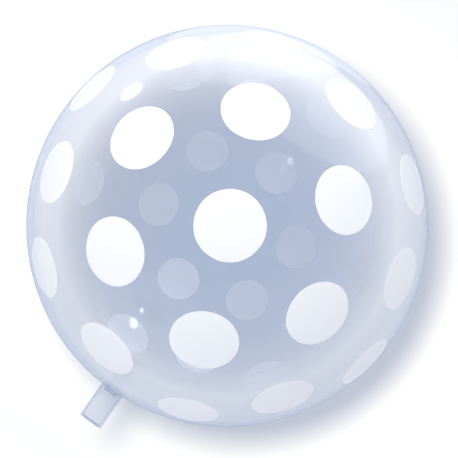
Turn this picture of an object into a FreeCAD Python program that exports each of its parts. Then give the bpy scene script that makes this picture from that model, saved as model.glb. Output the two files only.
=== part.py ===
"""A clear bubble balloon: two round film panels, welded round their rims and blown into a ball, with white
dots printed on both panels and a flat filling neck that holds a self-sealing valve.

Millimetres and degrees. +Z points up from the neck to the crown, -Y is the way the front panel faces, and
the origin is the middle of the neck stem, where a ribbon or a holder grips it.
"""

import FreeCAD, Part

import math
import os

# The ball.
BUBBLE_DIAMETER = 560.0
FILM = 0.4  # wall of a film panel; real film is thinner, see the record
SEAL_WIDTH = 4.5  # welded margin that stands out round the rim
SEAL_THICKNESS = 2 * FILM  # two films melted into one

# The neck, from the ball down: a stem, a crease that bends, and a loose tail.
STEM_TOP = 10.0
STEM_BOTTOM = -8.0
TAIL_TOP = -12.6
TAIL_BOTTOM = -55.0
SLEEVE_WIDTH = 28.0  # across the flattened tube, without its welded margins
SLEEVE_DEPTH = 5.8
NECK_SEAL_WIDTH = 4.0
MOUTH_LIP = 0.5  # the hem at the open end stands this much proud of the film
MOUTH_LIP_HEIGHT = 2.4

# The valve: two leaves, welded low in the stem, that lie against each other up inside the ball.
LEAF_WIDTH = 22.0
LEAF_THICKNESS = 0.25
LEAF_GAP = 0.2  # from each closed leaf to the middle plane
LEAF_ROOT = -4.0
LEAF_MEET = 8.0  # where the leaves come together
LEAF_TOP = 58.0
LEAF_CLEARANCE = 0.3  # from a leaf's root to the film wall
WELD_HEIGHT = 1.0
WELD_DEPTH = 0.5

# The print: staggered rows of dots, laid out as arcs from the middle of each panel.
DOT_RADIUS = 7.95  # degrees of arc
DOT_THICKNESS = 0.2
ROW_PITCH = 29.75  # between neighbours in a row
ROW_SPACING = 23.5  # between rows
ROW_TILT = {"front": -10.0, "back": 40.0}  # from level, seen from outside the panel
PRINT_SLIP = {"front": 0.45, "back": 0.0}  # how far the print lies off the middle, along and across its rows
FILM_GROWTH = {"front": 0.034, "back": 0.122}  # how much more the film stretches towards its rim

RADIUS = BUBBLE_DIAMETER / 2
INNER_RADIUS = RADIUS - FILM
CENTRE_Z = STEM_TOP + RADIUS
CENTRE = FreeCAD.Vector(0, 0, CENTRE_Z)
HALF_SEAL = SEAL_THICKNESS / 2
INNER_WIDTH = SLEEVE_WIDTH - 2 * FILM
INNER_DEPTH = SLEEVE_DEPTH - 2 * FILM
SIDES = {"front": -1, "back": 1}  # sign of Y
X_AXIS = FreeCAD.Vector(1, 0, 0)
Y_AXIS = FreeCAD.Vector(0, 1, 0)
Z_AXIS = FreeCAD.Vector(0, 0, 1)
ORIGIN = FreeCAD.Vector(0, 0, 0)


def block(x0, x1, y0, y1, z0, z1):
    """A box between two corners."""
    return Part.makeBox(x1 - x0, y1 - y0, z1 - z0, FreeCAD.Vector(x0, y0, z0))


def half_space(side):
    """Everything on one panel's side of the welded margin."""
    reach = BUBBLE_DIAMETER
    low, high = sorted((SIDES[side] * HALF_SEAL, SIDES[side] * reach))
    return block(-reach, reach, low, high, -reach, 2 * reach)


def prism(width, depth, z0, z1):
    """An upright bar whose section is a flat oval: two flat faces joined by half rounds."""
    r = depth / 2
    flat = width / 2 - r
    corners = [(-flat, -r), (flat, -r), (flat, r), (-flat, r)]
    a, b, c, d = [FreeCAD.Vector(x, y, z0) for x, y in corners]
    right = Part.Arc(b, FreeCAD.Vector(width / 2, 0, z0), c).toShape()
    left = Part.Arc(d, FreeCAD.Vector(-width / 2, 0, z0), a).toShape()
    outline = Part.Wire([Part.makeLine(a, b), right, Part.makeLine(c, d), left])
    return Part.Face(outline).extrude(FreeCAD.Vector(0, 0, z1 - z0))


def sleeve(z0, z1, grow=0.0):
    """A length of the flattened neck tube, with its wall thickened outwards by grow."""
    outer = prism(SLEEVE_WIDTH + 2 * grow, SLEEVE_DEPTH + 2 * grow, z0, z1)
    return outer.cut(prism(INNER_WIDTH, INNER_DEPTH, z0, z1))


def film_panel(side):
    """Half of the ball, as a shell with a cut-out for the neck."""
    ball = Part.makeSphere(RADIUS, CENTRE).cut(Part.makeSphere(INNER_RADIUS, CENTRE))
    return ball.common(half_space(side)).cut(prism(SLEEVE_WIDTH, SLEEVE_DEPTH, 0, 2 * STEM_TOP))


def seal_band():
    """The welded margin: a flat ring round the ball that runs on down both edges of the stem."""
    start = FreeCAD.Vector(0, -HALF_SEAL, CENTRE_Z)
    outer = Part.makeCylinder(RADIUS + SEAL_WIDTH, SEAL_THICKNESS, start, Y_AXIS)
    inner = Part.makeCylinder(INNER_RADIUS, SEAL_THICKNESS, start, Y_AXIS)
    band = outer.cut(inner)
    edge = SLEEVE_WIDTH / 2 + NECK_SEAL_WIDTH
    strips = block(-edge, edge, -HALF_SEAL, HALF_SEAL, STEM_BOTTOM, 2 * STEM_TOP)
    band = band.fuse(strips.cut(inner))
    return band.cut(prism(INNER_WIDTH, INNER_DEPTH, STEM_BOTTOM, 2 * STEM_TOP)).removeSplitter()


def stem_film(side):
    """One wall of the stem, from the crease up to the inside of the ball."""
    wall = sleeve(STEM_BOTTOM, 1.5 * STEM_TOP).common(half_space(side))
    return wall.cut(Part.makeSphere(INNER_RADIUS, CENTRE))


def crease_film():
    """The short length of neck that bends, welded margins included."""
    edge = SLEEVE_WIDTH / 2 + NECK_SEAL_WIDTH
    strips = block(-edge, edge, -HALF_SEAL, HALF_SEAL, TAIL_TOP, STEM_BOTTOM)
    strips = strips.cut(prism(INNER_WIDTH, INNER_DEPTH, TAIL_TOP, STEM_BOTTOM))
    return sleeve(TAIL_TOP, STEM_BOTTOM).fuse(strips).removeSplitter()


def tail_film(side):
    """One wall of the loose tail."""
    return sleeve(TAIL_BOTTOM, TAIL_TOP).common(half_space(side))


def mouth_hem(side):
    """The thicker hem of one wall, round the open end of the tail."""
    ring = prism(SLEEVE_WIDTH + 2 * MOUTH_LIP, SLEEVE_DEPTH + 2 * MOUTH_LIP, TAIL_BOTTOM,
                 TAIL_BOTTOM + MOUTH_LIP_HEIGHT)
    ring = ring.cut(prism(SLEEVE_WIDTH, SLEEVE_DEPTH, TAIL_BOTTOM, TAIL_BOTTOM + MOUTH_LIP_HEIGHT))
    return ring.common(half_space(side))


def tail_seal(hand):
    """The welded margin down one edge of the tail. hand is -1 for left and 1 for right."""
    near, far = sorted((hand * INNER_WIDTH / 4, hand * (SLEEVE_WIDTH / 2 + NECK_SEAL_WIDTH)))
    strip = block(near, far, -HALF_SEAL, HALF_SEAL, TAIL_BOTTOM, TAIL_TOP)
    return strip.cut(prism(INNER_WIDTH, INNER_DEPTH, TAIL_BOTTOM, TAIL_TOP))


def valve_leaf(side):
    """A leaf that slants in from the film wall, then lies along the middle plane."""
    sign = SIDES[side]
    root = INNER_DEPTH / 2 - LEAF_CLEARANCE
    inside = [(root - LEAF_THICKNESS, LEAF_ROOT), (LEAF_GAP, LEAF_MEET), (LEAF_GAP, LEAF_TOP)]
    outside = [(y + LEAF_THICKNESS, z) for y, z in reversed(inside)]
    points = [FreeCAD.Vector(-LEAF_WIDTH / 2, sign * y, z) for y, z in inside + outside]
    outline = Part.makePolygon(points + points[:1])
    return Part.Face(outline).extrude(FreeCAD.Vector(LEAF_WIDTH, 0, 0))


def valve_weld(side):
    """The weld bead that fixes a leaf's root to the film wall."""
    wall = INNER_DEPTH / 2
    low, high = sorted((SIDES[side] * wall, SIDES[side] * (wall - WELD_DEPTH)))
    top = LEAF_ROOT - LEAF_CLEARANCE
    return block(-LEAF_WIDTH / 2, LEAF_WIDTH / 2, low, high, top - WELD_HEIGHT, top)


def dot_places():
    """Where the dots lie on the flat film, as (name, along the row, across the rows)."""
    near, far = [], []
    for row in range(-2, 3):
        count = 5 - abs(row)
        for n in range(count):
            along = (n - (count - 1) / 2) * ROW_PITCH
            steps = max(abs(row), abs(along) / ROW_PITCH + abs(row) / 2)
            ring = near if steps < 1.5 else far
            if steps > 0:
                ring.append((along, row * ROW_SPACING))
    places = [("centre", 0.0, 0.0)]
    for label, ring in (("inner", near), ("outer", far)):
        ring.sort(key=lambda place: math.atan2(place[1], place[0]))
        places += [(f"{label}_{n + 1:02d}", u, v) for n, (u, v) in enumerate(ring)]
    return places


def dot(side, along, across):
    """One printed dot: a round patch of ink lying on the ball."""
    half = math.radians(DOT_RADIUS)
    pitch = math.radians(ROW_PITCH)
    slip = PRINT_SLIP[side]
    growth = FILM_GROWTH[side]

    def at(radius, angle):
        return FreeCAD.Vector(radius * math.sin(angle), 0, radius * math.cos(angle))

    low, high = RADIUS, RADIUS + DOT_THICKNESS
    edges = [
        Part.makeLine(at(low, 0), at(high, 0)),
        Part.Arc(at(high, 0), at(high, half / 2), at(high, half)).toShape(),
        Part.makeLine(at(high, half), at(low, half)),
        Part.Arc(at(low, half), at(low, half / 2), at(low, 0)).toShape(),
    ]
    patch = Part.Face(Part.Wire(edges)).revolve(ORIGIN, Z_AXIS, 360)
    flat = math.radians(math.hypot(along + slip, across + slip))
    tilt = flat * (1 + growth * flat**2) / (1 + growth * pitch**2)
    turn = math.atan2(across + slip, along + slip) + math.radians(ROW_TILT[side])
    sign = SIDES[side]
    outwards = FreeCAD.Vector(
        -sign * math.sin(tilt) * math.cos(turn), sign * math.cos(tilt), math.sin(tilt) * math.sin(turn)
    )
    patch.Placement = FreeCAD.Placement(CENTRE, FreeCAD.Rotation(Z_AXIS, outwards))
    return patch


def all_parts():
    """Every node's name with its shape."""
    parts = {"seal_band": seal_band(), "neck_crease_film": crease_film()}
    for side in SIDES:
        parts[f"film_panel_{side}"] = film_panel(side)
        parts[f"neck_stem_film_{side}"] = stem_film(side)
        parts[f"tail_film_{side}"] = tail_film(side)
        parts[f"mouth_hem_{side}"] = mouth_hem(side)
        parts[f"valve_leaf_{side}"] = valve_leaf(side)
        parts[f"valve_weld_{side}"] = valve_weld(side)
        for name, along, across in dot_places():
            parts[f"dot_{side}_{name}"] = dot(side, along, across)
    for name, hand in (("left", -1), ("right", 1)):
        parts[f"tail_seal_{name}"] = tail_seal(hand)
    return parts


def main():
    os.makedirs("parts", exist_ok=True)
    for name, shape in sorted(all_parts().items()):
        if not shape.isValid() or not shape.Solids:
            raise ValueError(f"{name} is not a valid solid")
        shape.exportStep(f"parts/{name}.step")
        print(f"{name}: {len(shape.Solids)} solid, {shape.Volume:.1f} mm3")


main()
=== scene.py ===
"""The looks of a clear bubble balloon: film, welds, print and neck, a pale studio, and the camera."""

import math

import bpy
import numpy as np
from mathutils import Matrix, Vector


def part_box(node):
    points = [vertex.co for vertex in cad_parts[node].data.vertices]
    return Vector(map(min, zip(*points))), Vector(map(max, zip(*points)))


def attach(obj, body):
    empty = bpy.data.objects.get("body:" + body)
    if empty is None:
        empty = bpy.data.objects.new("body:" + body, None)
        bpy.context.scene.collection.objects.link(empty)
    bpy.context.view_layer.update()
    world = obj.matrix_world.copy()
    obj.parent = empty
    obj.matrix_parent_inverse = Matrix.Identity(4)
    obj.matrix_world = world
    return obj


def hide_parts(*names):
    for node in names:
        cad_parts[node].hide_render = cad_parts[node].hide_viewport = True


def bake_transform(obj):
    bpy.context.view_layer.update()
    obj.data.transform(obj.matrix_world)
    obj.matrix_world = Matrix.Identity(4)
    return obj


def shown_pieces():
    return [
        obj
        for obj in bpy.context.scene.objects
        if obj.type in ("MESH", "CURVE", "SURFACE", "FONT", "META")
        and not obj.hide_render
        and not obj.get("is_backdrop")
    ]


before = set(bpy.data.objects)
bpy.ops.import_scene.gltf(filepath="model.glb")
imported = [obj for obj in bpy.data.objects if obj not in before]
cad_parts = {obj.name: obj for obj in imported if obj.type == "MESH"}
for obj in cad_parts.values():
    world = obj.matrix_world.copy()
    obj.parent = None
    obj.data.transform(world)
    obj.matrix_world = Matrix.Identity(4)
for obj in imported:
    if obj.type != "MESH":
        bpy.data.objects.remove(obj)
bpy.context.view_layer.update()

SIDES = {"front": -1, "back": 1}  # sign of Y
HANDS = {"left": -1, "right": 1}  # sign of X

# The ball and its welded margin, from the frame.
PANEL_LOW, PANEL_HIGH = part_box("film_panel_front")
RADIUS = (PANEL_HIGH[0] - PANEL_LOW[0]) / 2
CENTRE = np.array([0.0, 0.0, (PANEL_HIGH[2] + PANEL_LOW[2]) / 2])
CENTRE_Z = CENTRE[2]
MIDDLE = Vector(CENTRE)
BAND_LOW, BAND_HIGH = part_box("seal_band")
BAND_WIDTH = (BAND_HIGH[0] - BAND_LOW[0]) / 2 - RADIUS
BAND_HALF = (BAND_HIGH[1] - BAND_LOW[1]) / 2

# The neck, from the frame: a stem, a crease and a tail.
CREASE_LOW, CREASE_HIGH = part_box("neck_crease_film")
STEM_BOTTOM = CREASE_HIGH[2]
TAIL_TOP = CREASE_LOW[2]
TAIL_LOW, TAIL_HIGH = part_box("tail_film_front")
TAIL_BOTTOM = TAIL_LOW[2]
NECK_HALF = (TAIL_HIGH[0] - TAIL_LOW[0]) / 2
NECK_DEPTH = -TAIL_LOW[1]  # from the middle plane to a wall
NECK_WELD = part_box("tail_seal_right")[1][0] - NECK_HALF  # width of its welded edges
HEM_LOW, HEM_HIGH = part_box("mouth_hem_front")
HEM_LIP = abs(HEM_LOW[1]) - NECK_DEPTH
LEAF_LOW, LEAF_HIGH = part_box("valve_leaf_front")
LEAF_MEET = 0.008  # height at which the leaves come together
LEAF_THICKNESS = 0.00025
LEAF_CORNER = 0.004  # radius of a leaf's corners at its free end

# How the ball flares into the neck.
FLARE = 0.012  # radius of the hollow corner
OVAL_POWER = 8  # of the neck's flat-sided section; 2 is an ellipse
ROUND_FROM = math.radians(20)  # the rings are round from this far off the neck's axis
PLEATS = 9  # that run up from the neck on to each panel
PLEAT_DEPTH = 0.0006
PLEAT_REACH = math.radians(9)

# The film's small unevenness, in metres and radians.
PUCKERS = 96  # round the weld
PUCKER_DEPTH = 0.0009
PUCKER_REACH = 0.075
SWELL_DEPTH = 0.0005
WELD_NIBBLE = 0.0003  # how unevenly the weld is trimmed
WELD_RIPPLE = 0.00035  # how far its free edge waves out of its plane
WELD_SMOOTHING = 25  # rows over which its direction is evened out
WELD_TAPER = 0.012  # height from which it narrows, to the neck's width at 0
NECK_SWAY = 0.0016
NECK_NIP = 0.45  # of its depth, at the crease
NECK_SLACK = 0.25  # of its depth, along the tail
CRUMPLE_SLANTING = 0.00030
CRUMPLE_UPRIGHT = 0.00012
HEM_INNER_LIP = 0.00012
LEAF_WAVE = 0.0006
LEAF_RIPPLE = 0.0004

# The print.
INK_LIFT = 0.00006  # the ink's rim stands this far off the film
INK_DEPTH = 0.00014
DOT_CORNERS = 96
DOT_RINGS = (0, 0.1, 0.2, 0.3, 0.4, 0.5, 0.6, 0.7, 0.8, 0.88, 0.94, 0.975, 0.99, 1, 1)  # of its radius
DOT_BEVEL = 0.93  # from here out the ink thins

# The meshes.
BALL_ROWS = 340
FLARE_ROWS = 14
STEM_ROWS = 8
TAIL_ROWS = 72
CREASE_ROWS = 15
COLUMNS = 128
HEM_ROWS = 7
LEAF_ROWS = 60
LEAF_END_ROWS = 12
LEAF_COLUMNS = 41
# A welded strip's section: out as a share of its width, up as a share of its half thickness.
STRIP_SECTION = ((0, 1), (0.3, 1), (0.6, 0.95), (0.9, 0.85), (1, 0.4),
                 (1, -0.4), (0.9, -0.85), (0.6, -0.95), (0.3, -1), (0, -1))

# The film's looks. "Aslant" runs from 0, seen square on, to 1 at the outline.
FILM_LOOK = dict(tint=(0.715, 0.757, 0.832), edge_tint=(0.52, 0.61, 0.76), milkiness=1.9, most=0.46)
WELD_LOOK = dict(tint=(0.72, 0.79, 0.90), edge_tint=(0.66, 0.73, 0.85), milkiness=0.8, cloud=0.22)
NECK_LOOK = dict(tint=(0.82, 0.85, 0.90), edge_tint=(0.68, 0.72, 0.80), milkiness=1.0, cloud=0.06)
VALVE_LOOK = dict(tint=(0.93, 0.95, 0.97), edge_tint=(0.85, 0.88, 0.93), milkiness=0.8, cloud=0.12)
TINT_POWER = 3  # of aslant, by which the tint turns into the edge's
MILK_POWER = 1.95  # by which the milkiness rises
EDGE_POWER = 5  # by which it falls away again at the outline
MILK_COLOUR = (0.95, 0.94, 0.94)
GLOSS_COLOUR = (0.88, 0.93, 1)
GLOSS_ROUGHNESS = 0.09
GLOSS = 0.06  # seen square on
GLOSS_RISE = 0.28
GLOSS_POWER = 4

# The ink's looks.
INK_COLOUR = (0.95, 0.95, 0.955)
INK_ROUGHNESS = 0.38
INK_THROUGH = (0.95, 0.955, 0.97)  # colour of the light that it passes
INK_THINNESS = 0.29  # share of the light that it passes at least
INK_PATCHINESS = 0.12  # and at most this much more
INK_CLEARING = 0.6  # how fast it clears aslant
INK_CLEAREST = 0.35

# The studio.
FLOOR = -1.9
WALL = 2.9  # from the middle of the floor
WALL_TOP = 4.5
SWEEP = 0.6
ROOM_GLOW = (0.97, 0.98, 0.99)  # painted light: the cove's glow on the side of -X, brightest as if lit from there
ROOM_SHADE = (0.72, 0.73, 0.75)  # painted shade: the cove's glow, dimmer on the side of +X
BACKDROP_GLOW = (0.33, 0.36, 0.45)  # painted fill light, dim and bluish behind the ball, where a spot adds the rest and the ball's real shadow falls, tinted blue by this glow
BACKDROP_FADE = (1.4, 2.5)  # from the room's glow to the backdrop's, in Y
SPOT_COLOUR = (1.0, 0.95, 0.8)
SPOT_RADIUS = 0.035
SPOT_ANGLE = math.radians(100)
SPOT_WATTS = 4150
CEILING_LIGHT = (0.95, 0.97, 1)
CEILING_STRENGTH = 2.0

# The camera.
VIEW_DISTANCE = 3.62  # in radii
VIEW_ROLL = math.radians(35)  # turns the neck to the lower left
SENSOR = 36  # width, in millimetres
LENS = 55.05
SHIFT = (0.0040, -0.0072)
RIGHT = Vector((math.cos(VIEW_ROLL), 0, math.sin(VIEW_ROLL)))
UP = Vector((-math.sin(VIEW_ROLL), 0, math.cos(VIEW_ROLL)))
NEAR = Vector((0, -1, 0))


# Meshes ------------------------------------------------------------------------------------------------

def new_object(name, vertices, faces):
    """A smooth mesh in the scene."""
    mesh = bpy.data.meshes.new(name)
    mesh.from_pydata([tuple(v) for v in vertices], [], [tuple(int(i) for i in f) for f in faces])
    mesh.validate()
    obj = bpy.data.objects.new(name, mesh)
    bpy.context.scene.collection.objects.link(obj)
    mesh.shade_smooth()
    return obj


def dress(obj, material, nodes, body):
    """Gives a piece its material, hides the CAD nodes that it stands for and puts it on the body it rides on.
    """
    obj.data.materials.append(material)
    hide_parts(*nodes)
    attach(obj, body)
    return obj


def grid_faces(rows, columns, flip=False):
    """Quads of a sheet whose vertices run row by row."""
    k = np.arange(rows - 1)[:, None] * columns + np.arange(columns - 1)[None, :]
    quads = np.stack([k, k + 1, k + columns + 1, k + columns], -1).reshape(-1, 4)
    return quads[:, ::-1] if flip else quads


def tube(name, sections):
    """A closed bar through these sections, an array of section, corner, xyz, with flat ends."""
    count, corners = sections.shape[:2]
    faces = []
    for row in range(count - 1):
        for k in range(corners):
            a, b = row * corners + k, row * corners + (k + 1) % corners
            faces.append((a, b, b + corners, a + corners))
    faces.append(range(corners - 1, -1, -1))
    faces.append(range((count - 1) * corners, count * corners))
    return new_object(name, sections.reshape(-1, 3), faces)


def smoothstep(value, low, high):
    """0 at low, 1 at high, smooth between; low may be the greater."""
    t = np.clip((value - low) / (high - low), 0, 1)
    return t * t * (3 - 2 * t)


def blend(low, high, share):
    """From low to high by this share."""
    return low + (high - low) * share


# The ball ----------------------------------------------------------------------------------------------

def film_surface(directions):
    """Points on the film in these directions from the centre: a ball, gathered slightly at its weld."""
    d = np.asarray(directions, float)
    d = d / np.linalg.norm(d, axis=-1, keepdims=True)
    x, y, z = d[..., 0], d[..., 1], d[..., 2]
    off_weld = np.arcsin(np.clip(np.abs(y), 0, 1))
    round_weld = np.arctan2(z, x)
    wave = np.sin(PUCKERS * round_weld + 1.7 * np.sin(5 * round_weld) + 0.9 * np.sin(11 * round_weld + 2))
    strength = 0.6 + 0.4 * np.sin(3 * round_weld + 1) * np.sin(7 * round_weld)
    gathers = (wave - 1) / 2 * strength * np.exp(-off_weld / PUCKER_REACH)
    swell = np.sin(4 * x + 3 * z + 1) * np.sin(5 * z - 2 * x) + np.sin(6 * y + 2 * x) * np.sin(4 * z + 2)
    off_neck = np.arccos(np.clip(-z, -1, 1))
    calm = smoothstep(off_neck, 0.5 * PLEAT_REACH, 1.5 * PLEAT_REACH)
    r = RADIUS + calm * (PUCKER_DEPTH * gathers + SWELL_DEPTH * (swell - 2) / 4)
    return CENTRE + d * r[..., None]


def flare_corner(half):
    """The hollow corner between ball and a wall this far off the axis: the height of its end, its angle."""
    across = half + FLARE
    height = CENTRE_Z - math.sqrt((RADIUS + FLARE) ** 2 - across ** 2)
    return height, math.acos(across / (RADIUS + FLARE))


def flare_start(half):
    """How far off the neck's axis, as an angle at the ball's centre, the flare meets the ball."""
    return math.asin((half + FLARE) / (RADIUS + FLARE))


def ball_rows():
    """Rings from the crown down: angle off the neck's axis at the edges and the middle, and oval power."""
    start_side, start_middle = flare_start(NECK_HALF), flare_start(NECK_DEPTH)
    off_axis = np.linspace(math.pi, start_side, BALL_ROWS)
    share = 1 - smoothstep(off_axis, start_side, ROUND_FROM)
    middle = off_axis - (start_side - start_middle) * share
    return off_axis, middle, blend(2, OVAL_POWER, share)


def across_row(columns):
    """Places across a panel, from +1 at its right edge to -1 at its left, closer together near the weld."""
    v = np.linspace(1, -1, columns)
    turn = math.pi / 2 * (1 - np.sign(v) * (1 - (1 - np.abs(v)) ** 1.5))
    return np.cos(turn)


def wall_offset(half_depth, across, power):
    """How far a wall stands off the middle plane across a flat-sided ring whose edges stop at the weld."""
    bulge = np.sqrt(np.clip(1 - np.abs(across) ** power, 0, 1))
    return BAND_HALF + np.maximum(half_depth - BAND_HALF, half_depth / 2) * bulge


def ball_height(x, y):
    """Height of the ball's underside at this place."""
    return CENTRE_Z - np.sqrt(RADIUS ** 2 - x ** 2 - y ** 2)


def ball_points(across):
    """One panel's film on the ball, with Y positive, in rows from the crown down to the flare."""
    off_axis, middle, power = ball_rows()
    x = RADIUS * np.sin(off_axis)[:, None] * across
    y = wall_offset(RADIUS * np.sin(middle)[:, None], across, power[:, None])
    level = CENTRE_Z - RADIUS * np.cos(off_axis)[:, None]
    on_oval = 1 - smoothstep(off_axis, 0.8 * ROUND_FROM, ROUND_FROM)[:, None]
    oval = ball_height(x * (on_oval > 0), y * (on_oval > 0))
    return np.stack([x, y, blend(level, oval, on_oval)], -1)


def flare_points(across):
    """The hollow corner between ball and neck, in rows from the ball down."""
    share = np.linspace(0, 1, FLARE_ROWS)[1:, None]
    halves, sags = [], []
    for half in (NECK_HALF, NECK_DEPTH):
        height, angle = flare_corner(half)
        left = angle * (1 - share)
        out = half + FLARE * (1 - np.cos(left))
        halves.append(out)
        sags.append(ball_height(out, 0) - height - FLARE * np.sin(left))
    x = halves[0] * across
    y = wall_offset(halves[1], across, OVAL_POWER)
    edgewise = across ** 2
    return np.stack([x, y, ball_height(x, y) - blend(sags[1], sags[0], edgewise)], -1)


def stem_points(top_row):
    """The straight stem, in rows down from the flare's last row to the crease."""
    share = np.linspace(0, 1, STEM_ROWS)[1:, None]
    rows = np.repeat(top_row[None], len(share), 0)
    rows[..., 2] = blend(top_row[:, 2], STEM_BOTTOM, share)
    return rows


def normals_of(points):
    """Outward normals of a sheet given as rows of points with Y positive."""
    down, along = np.gradient(points, axis=0), np.gradient(points, axis=1)
    normals = np.cross(down, along)
    length = np.linalg.norm(normals, axis=-1, keepdims=True)
    return normals / np.maximum(length, 1e-12)


def panel_grid(side):
    """One panel's film from the crown to the end of the stem, and the rows at which the flare starts."""
    sign = SIDES[side]
    across = across_row(COLUMNS)
    ball = ball_points(across)
    flare = flare_points(across)
    smooth = np.concatenate([ball, flare, stem_points(flare[-1])])
    turned = smooth * (1, sign, 1)
    uneven = turned.copy()
    uneven[:BALL_ROWS] = film_surface(turned[:BALL_ROWS] - CENTRE)
    off_flare = np.arccos(np.clip((CENTRE_Z - smooth[..., 2]) / RADIUS, -1, 1)) - flare_start(NECK_HALF)
    on_ball = np.exp(-np.clip(off_flare, 0, None) / PLEAT_REACH)
    down_stem = smoothstep(smooth[..., 2], STEM_BOTTOM, ball_height(NECK_HALF, 0))
    turn = np.arccos(across)
    phase = 0.4 if sign > 0 else 2.1
    folds = 0.5 + 0.5 * np.sin(2 * PLEATS * turn + 1.1 * np.sin(3 * turn + phase) + phase)
    height = PLEAT_DEPTH * on_ball * down_stem * folds * np.sqrt(np.sin(turn))
    outwards = normals_of(smooth) * (1, sign, 1)
    return uneven + outwards * height[..., None]


def film_panel(side, film, neck_film):
    """A panel on the ball, and the wall of the stem that it runs on into."""
    sign = SIDES[side]
    points = panel_grid(side)
    ball, stem = points[:BALL_ROWS], points[BALL_ROWS - 1:]
    faces = grid_faces(BALL_ROWS, COLUMNS, sign < 0)
    panel = new_object(f"film_{side}", ball.reshape(-1, 3), faces)
    dress(panel, film, [f"film_panel_{side}"], "bubble")
    wall = new_object(f"neck_stem_{side}", stem.reshape(-1, 3), grid_faces(len(stem), COLUMNS, sign < 0))
    dress(wall, neck_film, [f"neck_stem_film_{side}"], "bubble")
    return points


def seal_ring(points, material):
    """The welded margin: up one edge of the stem, round the ball, and down the other edge."""
    right, left = points[::-1, 0], points[1:, -1]
    roots = np.concatenate([right, left]) * (1, 0, 1)
    path = np.gradient(roots, axis=0)
    kernel = np.hanning(WELD_SMOOTHING)
    for axis in (0, 2):
        padded = np.pad(path[:, axis], len(kernel) // 2, mode="edge")
        path[:, axis] = np.convolve(padded, kernel / kernel.sum(), mode="valid")
    outwards = np.stack([path[:, 2], 0 * path[:, 1], -path[:, 0]], -1)
    outwards /= np.linalg.norm(outwards, axis=-1, keepdims=True)
    run = np.concatenate([[0], np.cumsum(np.linalg.norm(np.diff(roots, axis=0), axis=-1))])
    on_neck = smoothstep(roots[:, 2], WELD_TAPER, 0.0)
    nibble = (1 + np.sin(run / 0.0031 + 2 * np.sin(run / 0.021))) / 2
    width = blend(BAND_WIDTH, NECK_WELD, on_neck) - WELD_NIBBLE * (1 - on_neck) * nibble
    ring = flange("weld_ring", roots, outwards, width, run)
    return dress(ring, material, ["seal_band"], "bubble")


def flange(name, roots, outwards, width, run):
    """A welded strip that stands out from roots, with a slight ripple along its free edge."""
    ripple = WELD_RIPPLE * (np.sin(run / 0.0026) + 0.6 * np.sin(run / 0.0071 + 1))
    sections = []
    for out, up in STRIP_SECTION:
        points = roots + outwards * (width * out)[:, None]
        points[:, 1] += BAND_HALF * up + ripple * out ** 2
        sections.append(points)
    return tube(name, np.stack(sections, 1))


# The neck below the stem -------------------------------------------------------------------------------

def limp(x, z):
    """How far the limp neck wanders off its middle plane, starting from nothing at the stem."""
    below = np.clip(STEM_BOTTOM - z, 0, None)
    sway = NECK_SWAY * np.sin(below / 0.011) + NECK_SWAY / 2 * np.sin(below / 0.0047 + 80 * x)
    return sway * smoothstep(below, 0.0, 0.016)


def neck_depth(z):
    """Half the neck's depth: nipped in at the crease, then slack, then held open by the hem."""
    middle = (STEM_BOTTOM + TAIL_TOP) / 2
    nip = NECK_NIP * np.exp(-((z - middle) / 0.0016) ** 2)
    slack = NECK_SLACK * smoothstep(TAIL_TOP - z, 0.0, 0.01) * smoothstep(z - TAIL_BOTTOM, 0.002, 0.014)
    return NECK_DEPTH * (1 - nip - slack)


def neck_wall(side, heights):
    """Points of one wall of the crease or the tail, row by row downwards."""
    sign = SIDES[side]
    across = across_row(COLUMNS)
    z = np.asarray(heights)[:, None] + 0 * across
    x = NECK_HALF * across + 0 * z
    below = np.clip(STEM_BOTTOM - z, 0, None)
    y = wall_offset(neck_depth(z), across, OVAL_POWER)
    slanting = np.sin(x / 0.0021 + below / 0.0046 + sign) * np.sin(below / 0.0062 - x / 0.0075 + 2 * sign)
    upright = np.sin(x / 0.0013 + 0.8 * np.sin(below / 0.009))
    fade = smoothstep(below, 0.0, 0.008) * smoothstep(1 - np.abs(across), 0, 0.25)
    held_by_hem = smoothstep(z - TAIL_BOTTOM, 0, 0.004)
    crumple = (CRUMPLE_SLANTING * slanting + CRUMPLE_UPRIGHT * upright) * fade * held_by_hem
    return np.stack([x, sign * y + limp(x, z) + crumple, z], -1)


def neck_strip(name, hand, heights):
    """The welded margin along one edge of the crease or the tail."""
    z = np.asarray(heights)
    x = HANDS[hand] * NECK_HALF + 0 * z
    roots = np.stack([x, limp(x, z), z], -1)
    outwards = np.tile((HANDS[hand], 0.0, 0.0), (len(z), 1))
    return flange(name, roots, outwards, NECK_WELD + 0 * z, STEM_BOTTOM - z)


def crease(neck_film, weld):
    """The short length of neck that bends, as two walls and two margins in one piece."""
    heights = np.linspace(STEM_BOTTOM, TAIL_TOP, CREASE_ROWS)
    walls = []
    for side, sign in SIDES.items():
        points = neck_wall(side, heights)
        walls.append(new_object(f"crease_{side}", points.reshape(-1, 3),
                                grid_faces(CREASE_ROWS, COLUMNS, sign < 0)))
        walls[-1].data.materials.append(neck_film)
    strips = [neck_strip(f"crease_{hand}", hand, heights) for hand in HANDS]
    for strip in strips:
        strip.data.materials.append(weld)
    piece = joined("neck_crease", walls + strips)
    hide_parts("neck_crease_film")
    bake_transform(piece)


def joined(name, objects):
    """Several meshes as one object, which keeps their materials."""
    bpy.ops.object.select_all(action="DESELECT")
    for obj in objects:
        obj.select_set(True)
    bpy.context.view_layer.objects.active = objects[0]
    bpy.ops.object.join()
    objects[0].name = name
    return objects[0]


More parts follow.
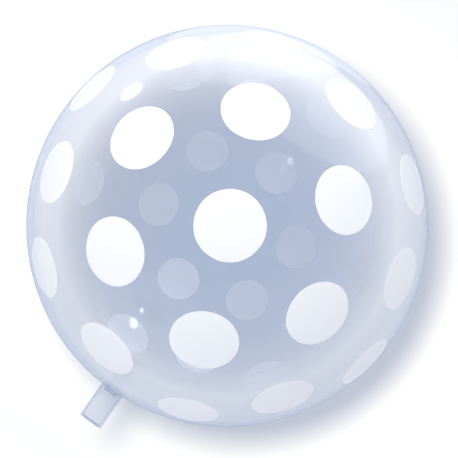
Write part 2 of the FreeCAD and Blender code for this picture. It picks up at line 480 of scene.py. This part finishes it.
def tail(neck_film, weld):
    """The loose end of the neck, with its welded edges and the hem round its mouth."""
    heights = np.linspace(TAIL_TOP, TAIL_BOTTOM, TAIL_ROWS)
    for side, sign in SIDES.items():
        points = neck_wall(side, heights)
        wall = new_object(f"neck_tail_{side}", points.reshape(-1, 3),
                          grid_faces(TAIL_ROWS, COLUMNS, sign < 0))
        dress(wall, neck_film, [f"tail_film_{side}"], "neck_tail")
        dress(hem(side), neck_film, [f"mouth_hem_{side}"], "neck_tail")
    for hand in HANDS:
        strip = neck_strip(f"neck_weld_{hand}", hand, heights)
        dress(strip, weld, [f"tail_seal_{hand}"], "neck_tail")


def hem(side):
    """The bead that stiffens one wall's edge at the mouth."""
    heights = np.linspace(HEM_LOW[2], HEM_HIGH[2], HEM_ROWS)
    wall = neck_wall(side, heights)
    run = np.gradient(wall, axis=1)
    outwards = np.stack([run[..., 1], -run[..., 0], 0 * run[..., 0]], -1) * SIDES[side]
    outwards /= np.maximum(np.linalg.norm(outwards, axis=-1, keepdims=True), 1e-12)
    swelling = HEM_LIP * np.sqrt(np.sin(np.linspace(0.12, math.pi - 0.12, len(heights))))
    outer = wall + outwards * swelling[:, None, None]
    inner = wall[::-1] - outwards[::-1] * HEM_INNER_LIP
    return tube(f"mouth_bead_{side}", np.concatenate([outer, inner]).transpose(1, 0, 2))


# The valve ---------------------------------------------------------------------------------------------

def valve_leaf(side, film):
    """A soft leaf that slants in from the stem's wall and then lies along the other leaf."""
    sign = SIDES[side]
    root_y = abs(LEAF_LOW[1]) - LEAF_THICKNESS / 2
    meet_y = abs(LEAF_HIGH[1]) + LEAF_THICKNESS / 2
    top = LEAF_HIGH[2]
    z = np.concatenate([np.linspace(LEAF_LOW[2], top - LEAF_CORNER, LEAF_ROWS),
                        top - LEAF_CORNER * (1 - np.sin(np.linspace(0, math.pi / 2, LEAF_END_ROWS)[1:]))])
    past_corner = np.clip(z - top + LEAF_CORNER, 0, None)
    corner = LEAF_CORNER - np.sqrt(np.clip(LEAF_CORNER ** 2 - past_corner ** 2, 0, None))
    across = np.linspace(-1, 1, LEAF_COLUMNS)
    x = (LEAF_HIGH[0] - corner)[:, None] * across
    z = z[:, None] + 0 * across
    lean = blend(root_y, meet_y, smoothstep(z, LEAF_LOW[2], LEAF_MEET))
    wave = LEAF_WAVE * np.sin(z / 0.0065 + x / 0.011) + LEAF_RIPPLE * np.sin(z / 0.0031 - x / 0.006)
    y = sign * lean + wave * smoothstep(z, 0.5 * LEAF_MEET, 3 * LEAF_MEET)
    points = np.stack([x, y, z], -1).reshape(-1, 3)
    leaf = new_object(f"valve_flap_{side}", points, grid_faces(len(z), len(across), sign > 0))
    solid = leaf.modifiers.new("thickness", "SOLIDIFY")
    solid.thickness = LEAF_THICKNESS
    solid.offset = 0
    return dress(leaf, film, [f"valve_leaf_{side}"], f"{side}_leaf")


# The print ---------------------------------------------------------------------------------------------

def facing(node):
    """The direction in which a dot's middle lies from the ball's centre."""
    total = Vector()
    for face in node.data.polygons:
        total += face.area * (face.center - MIDDLE)
    return total.normalized()


def printed_dot(name, node, half_angle, ink):
    """A round of ink that follows the film, thinner at its rim."""
    middle = facing(node)
    side = middle.orthogonal().normalized()
    other = middle.cross(side)
    turns = np.linspace(0, 2 * math.pi, DOT_CORNERS, endpoint=False)
    share = np.array(DOT_RINGS)
    edge = 1 + 0.0025 * np.sin(5 * turns + 40 * middle.x) + 0.0015 * np.sin(13 * turns + 60 * middle.z)
    tilt = (half_angle * share[1:, None] * edge).reshape(-1)
    turn = np.tile(turns, len(share) - 1)
    flat = np.outer(np.cos(turn), side) + np.outer(np.sin(turn), other)
    rings = np.cos(tilt)[:, None] * np.array(middle) + np.sin(tilt)[:, None] * flat
    directions = np.concatenate([[middle], rings])
    thickness = INK_DEPTH * (1 - smoothstep(share, DOT_BEVEL, 1))
    lift = np.concatenate([thickness[:1], np.repeat(thickness[1:], len(turns))]) + INK_LIFT
    lift[-len(turns):] = 0  # the rim's foot is on the film
    points = film_surface(directions) + directions * lift[:, None]
    faces = [(0, 1 + k, 1 + (k + 1) % len(turns)) for k in range(len(turns))]
    for ring in range(len(share) - 2):
        inner = 1 + ring * len(turns)
        for k in range(len(turns)):
            after = (k + 1) % len(turns)
            faces.append((inner + k, inner + len(turns) + k, inner + len(turns) + after, inner + after))
    dot = new_object(name.replace("dot_", "print_"), points, faces)
    return dress(dot, ink, [name], "bubble")


def printing(ink):
    """Every dot of both panels, each where its node is."""
    low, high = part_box("dot_front_centre")
    half_angle = math.asin((high[0] - low[0]) / 2 / RADIUS)
    return [printed_dot(name, node, half_angle, ink)
            for name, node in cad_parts.items() if name.startswith("dot_")]


# Materials ---------------------------------------------------------------------------------------------

def new_material(name):
    """An empty material, as (itself, its node tree, its output node)."""
    material = bpy.data.materials.new(name)
    material.use_nodes = True
    tree = material.node_tree
    tree.nodes.clear()
    output = tree.nodes.new("ShaderNodeOutputMaterial")
    return material, tree, output


def maths(tree, operation, *values):
    """This operation on numbers and sockets."""
    node = tree.nodes.new("ShaderNodeMath")
    node.operation = operation
    for socket, value in zip(node.inputs, values):
        if isinstance(value, (int, float)):
            socket.default_value = value
        else:
            tree.links.new(value, socket)
    return node.outputs[0]


def mix(tree, factor, first, second):
    """A mix of two shaders; factor is a number or a socket."""
    node = tree.nodes.new("ShaderNodeMixShader")
    if isinstance(factor, (int, float)):
        node.inputs[0].default_value = factor
    else:
        tree.links.new(factor, node.inputs[0])
    tree.links.new(first, node.inputs[1])
    tree.links.new(second, node.inputs[2])
    return node.outputs[0]


def aslant_of(tree):
    """How much aslant the surface is seen: 0 square on, 1 at the outline."""
    weight = tree.nodes.new("ShaderNodeLayerWeight")
    weight.inputs["Blend"].default_value = 0.5
    return weight.outputs["Facing"]


def noise_bump(tree, scale, detail, strength, distance):
    """A bump from a noise over the surface."""
    place = tree.nodes.new("ShaderNodeTexCoord")
    noise = tree.nodes.new("ShaderNodeTexNoise")
    noise.inputs["Scale"].default_value = scale
    noise.inputs["Detail"].default_value = detail
    tree.links.new(place.outputs["Object"], noise.inputs["Vector"])
    bump = tree.nodes.new("ShaderNodeBump")
    bump.inputs["Strength"].default_value = strength
    bump.inputs["Distance"].default_value = distance
    tree.links.new(noise.outputs["Fac"], bump.inputs["Height"])
    return bump.outputs[0]


def clear_film(name, tint, edge_tint, milkiness, cloud=0.0, most=0.6):
    """Thin clear film, as milky as cloud square on. Aslant it gets milkier, up to most, and shinier.

    At the very outline the milkiness falls away again.
    """
    material, tree, output = new_material(name)
    aslant = aslant_of(tree)
    square = tree.nodes.new("ShaderNodeBsdfTransparent")
    square.inputs["Color"].default_value = (*tint, 1)
    slanting = tree.nodes.new("ShaderNodeBsdfTransparent")
    slanting.inputs["Color"].default_value = (*edge_tint, 1)
    tint_turn = maths(tree, "POWER", aslant, TINT_POWER)
    clear = mix(tree, tint_turn, square.outputs[0], slanting.outputs[0])
    milk = tree.nodes.new("ShaderNodeBsdfDiffuse")
    milk.inputs["Color"].default_value = (*MILK_COLOUR, 1)
    through = tree.nodes.new("ShaderNodeBsdfTranslucent")
    through.inputs["Color"].default_value = (*MILK_COLOUR, 1)
    milky = mix(tree, 0.5, milk.outputs[0], through.outputs[0])
    rising = maths(tree, "MULTIPLY_ADD", maths(tree, "POWER", aslant, MILK_POWER), milkiness, cloud)
    short_of_edge = maths(tree, "SUBTRACT", 1, maths(tree, "POWER", aslant, EDGE_POWER))
    haziness = maths(tree, "MULTIPLY", maths(tree, "MINIMUM", rising, most), short_of_edge)
    gloss = tree.nodes.new("ShaderNodeBsdfGlossy")
    gloss.inputs["Color"].default_value = (*GLOSS_COLOUR, 1)
    gloss.inputs["Roughness"].default_value = GLOSS_ROUGHNESS
    wrinkles = noise_bump(tree, scale=9, detail=3, strength=0.25, distance=0.004)
    tree.links.new(wrinkles, gloss.inputs["Normal"])
    shininess = maths(tree, "MULTIPLY_ADD", maths(tree, "POWER", aslant, GLOSS_POWER), GLOSS_RISE, GLOSS)
    body = mix(tree, haziness, clear, milky)
    tree.links.new(mix(tree, shininess, body, gloss.outputs[0]), output.inputs[0])
    return material


def white_ink():
    """Printed white ink. It passes some light, a little unevenly, and is slightly clear seen aslant."""
    material, tree, output = new_material("white_ink")
    face = tree.nodes.new("ShaderNodeBsdfPrincipled")
    face.inputs["Base Color"].default_value = (*INK_COLOUR, 1)
    face.inputs["Roughness"].default_value = INK_ROUGHNESS
    through = tree.nodes.new("ShaderNodeBsdfTranslucent")
    through.inputs["Color"].default_value = (*INK_THROUGH, 1)
    speckle = noise_bump(tree, scale=900, detail=2, strength=0.12, distance=0.0002)
    tree.links.new(speckle, face.inputs["Normal"])
    place = tree.nodes.new("ShaderNodeTexCoord")
    cloud = tree.nodes.new("ShaderNodeTexNoise")
    cloud.inputs["Scale"].default_value = 35
    cloud.inputs["Detail"].default_value = 4
    tree.links.new(place.outputs["Object"], cloud.inputs["Vector"])
    thinness = maths(tree, "MULTIPLY_ADD", cloud.outputs["Fac"], INK_PATCHINESS, INK_THINNESS)
    inked = mix(tree, thinness, face.outputs[0], through.outputs[0])
    clear = tree.nodes.new("ShaderNodeBsdfTransparent")
    rising = maths(tree, "MULTIPLY", maths(tree, "POWER", aslant_of(tree), 2), INK_CLEARING)
    clearness = maths(tree, "MINIMUM", rising, INK_CLEAREST)
    tree.links.new(mix(tree, clearness, inked, clear.outputs[0]), output.inputs[0])
    return material


# The studio --------------------------------------------------------------------------------------------

def map_range(tree, value, low, high):
    """0 below low, 1 above high, smooth between."""
    node = tree.nodes.new("ShaderNodeMapRange")
    node.interpolation_type = "SMOOTHSTEP"
    node.inputs["From Min"].default_value = low
    node.inputs["From Max"].default_value = high
    tree.links.new(value, node.inputs["Value"])
    return node.outputs[0]


def mix_colours(tree, factor, first, second):
    """A mix of two colours; first is a colour or a socket."""
    node = tree.nodes.new("ShaderNodeMix")
    node.data_type = "RGBA"
    if isinstance(first, tuple):
        node.inputs["A"].default_value = (*first, 1)
    else:
        tree.links.new(first, node.inputs["A"])
    node.inputs["B"].default_value = (*second, 1)
    tree.links.new(factor, node.inputs["Factor"])
    return node.outputs["Result"]


def studio_paint_and_glow():
    """Dark paint with a painted glow of light: pale in the room, most on the side of -X with painted shade
    towards +X, and dim behind the ball.
    """
    material, tree, output = new_material("studio_paint_and_glow")
    paint = tree.nodes.new("ShaderNodeBsdfDiffuse")
    paint.inputs["Color"].default_value = (0.1, 0.1, 0.1, 1)
    place = tree.nodes.new("ShaderNodeTexCoord")
    split = tree.nodes.new("ShaderNodeSeparateXYZ")
    tree.links.new(place.outputs["Object"], split.inputs[0])
    # Painted light and shade: the glow is brightest towards -X, dimmer towards +X and dimmest behind the
    # ball.
    aside = map_range(tree, split.outputs["X"], -WALL, WALL)
    far = map_range(tree, split.outputs["Y"], *BACKDROP_FADE)
    room = mix_colours(tree, aside, ROOM_GLOW, ROOM_SHADE)
    glow = tree.nodes.new("ShaderNodeEmission")
    tree.links.new(mix_colours(tree, far, room, BACKDROP_GLOW), glow.inputs["Color"])
    both = tree.nodes.new("ShaderNodeAddShader")
    tree.links.new(paint.outputs[0], both.inputs[0])
    tree.links.new(glow.outputs[0], both.inputs[1])
    tree.links.new(both.outputs[0], output.inputs[0])
    return material


def studio():
    """A seamless pale floor that sweeps up into a round wall."""
    around = 128
    innermost = 0.02
    bend = np.linspace(0, math.pi / 2, 24)
    reach = np.concatenate([[innermost], WALL - SWEEP + SWEEP * np.sin(bend), [WALL]])
    height = np.concatenate([[FLOOR], FLOOR + SWEEP * (1 - np.cos(bend)), [WALL_TOP]])
    turn = np.linspace(0, 2 * math.pi, around + 1)
    points = np.stack([np.outer(reach, np.cos(turn)), np.outer(reach, np.sin(turn)),
                       np.outer(height, np.ones(around + 1))], -1)
    cove = new_object("studio_cove", points.reshape(-1, 3), grid_faces(len(reach), around + 1))
    cove.data.materials.append(studio_paint_and_glow())
    cove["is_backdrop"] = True
    return cove


def aimed(name, data, place):
    """An object for this lamp, at place, facing the ball."""
    obj = bpy.data.objects.new(name, data)
    bpy.context.scene.collection.objects.link(obj)
    obj.location = place
    obj.rotation_euler = (MIDDLE - place).normalized().to_track_quat("-Z", "Y").to_euler()
    return obj


def lamp(name, place, size, watts, colour=(1, 1, 1)):
    """An oval area lamp that faces the ball from place, which is in the camera's directions."""
    data = bpy.data.lights.new(name, "AREA")
    data.shape = "ELLIPSE"
    data.size, data.size_y = size
    data.energy = watts
    data.color = colour
    obj = aimed(name, data, from_camera(*place))
    obj.visible_camera = False
    return obj


def group_of(name, objects):
    """A collection of these objects, for a lamp's light linking."""
    group = bpy.data.collections.new(name)
    for obj in objects:
        group.objects.link(obj)
    return group


def only_lights(obj, lit):
    """This lamp lights just these objects."""
    obj.light_linking.receiver_collection = group_of(f"{obj.name}_lit", lit)


def backdrop_spot(cove, eye):
    """Lights only the wall, past the film, from beside the camera. The print casts no shadow in it."""
    data = bpy.data.lights.new("backdrop_spot", "SPOT")
    data.energy = SPOT_WATTS
    data.color = SPOT_COLOUR
    data.spot_size = SPOT_ANGLE
    data.spot_blend = 0.5
    data.shadow_soft_size = SPOT_RADIUS
    obj = aimed("backdrop_spot", data, eye.location + SPOT_RADIUS * (UP - RIGHT))
    only_lights(obj, [cove])
    shading = [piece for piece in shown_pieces() if not piece.name.startswith("print_")]
    obj.light_linking.blocker_collection = group_of("backdrop_spot_shade", shading)


def lamps(dots):
    """The lamps on the ball: soft boxes above, small ones for its highlights, and fills for chosen pieces."""
    top_box = lamp("top_box", (0.25, 1.30, -0.30), (1.7, 0.9), 4)
    only_lights(top_box, [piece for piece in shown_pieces() if piece.name != "film_back"])
    lamp("top_back_box", (0.25, 1.25, -1.25), (1.6, 1.1), 2.8)
    lamp("key", (-0.81, 1.14, 0.0), (0.20, 0.20), 2.2)
    lamp("low_lamp", (-0.92, -0.955, 0.53), (0.08, 0.14), 0.25)
    lamp("low_lamp_small", (-0.88, -0.87, 0.74), (0.05, 0.07), 0.09)
    near_dot_lamp = lamp("near_dot_lamp", (-0.28, 0.80, 1.2), (0.6, 0.6), 7.4)
    only_lights(near_dot_lamp, [dot for dot in dots if "_front_" in dot.name])
    far_dot_lamp = lamp("far_dot_lamp", (0.4, 0.7, 1.45), (0.6, 0.6), 52, (1.0, 0.8, 0.6))
    only_lights(far_dot_lamp, [dot for dot in dots if "_back_" in dot.name])
    veil_lamp = lamp("veil_lamp", (0.2, 0.85, 1.35), (0.9, 0.9), 20, (1.0, 0.95, 0.86))
    veil_lamp.visible_glossy = False
    only_lights(veil_lamp, [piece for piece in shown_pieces() if piece.name == "film_front"])


def from_camera(right, up, near):
    """A place in the studio, in metres from the ball's middle, in the camera's directions."""
    return MIDDLE + right * RIGHT + up * UP + near * NEAR


def camera():
    """The camera, level with the ball's middle and rolled."""
    data = bpy.data.cameras.new("camera")
    data.lens = LENS
    data.sensor_width = SENSOR
    data.shift_x, data.shift_y = SHIFT
    obj = bpy.data.objects.new("camera", data)
    bpy.context.scene.collection.objects.link(obj)
    place = MIDDLE + NEAR * VIEW_DISTANCE * RADIUS
    turn = Matrix((RIGHT, UP, NEAR)).transposed()
    obj.matrix_world = Matrix.Translation(place) @ turn.to_4x4()
    bpy.context.scene.camera = obj
    return obj


def surroundings():
    """The light from above the open wall, and how the scene is rendered."""
    scene = bpy.context.scene
    scene.cycles.transparent_max_bounces = 24
    scene.cycles.caustics_reflective = False
    scene.cycles.sample_clamp_indirect = 4
    scene.view_settings.view_transform = "Standard"
    world = bpy.data.worlds.new("world")
    world.use_nodes = True
    background = world.node_tree.nodes["Background"]
    background.inputs["Color"].default_value = (*CEILING_LIGHT, 1)
    background.inputs["Strength"].default_value = CEILING_STRENGTH
    scene.world = world


def main():
    film = clear_film("clear_film", **FILM_LOOK)
    weld = clear_film("weld_film", **WELD_LOOK)
    neck = clear_film("neck_film", **NECK_LOOK)
    valve = clear_film("valve_film", **VALVE_LOOK)
    ink = white_ink()
    front = film_panel("front", film, neck)
    film_panel("back", film, neck)
    seal_ring(front, weld)
    crease(neck, weld)
    tail(neck, weld)
    for side in SIDES:
        valve_leaf(side, valve)
        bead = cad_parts[f"valve_weld_{side}"]
        bead.data.materials.clear()
        bead.data.materials.append(weld)
    dots = printing(ink)
    backdrop_spot(studio(), camera())
    lamps(dots)
    surroundings()


main()
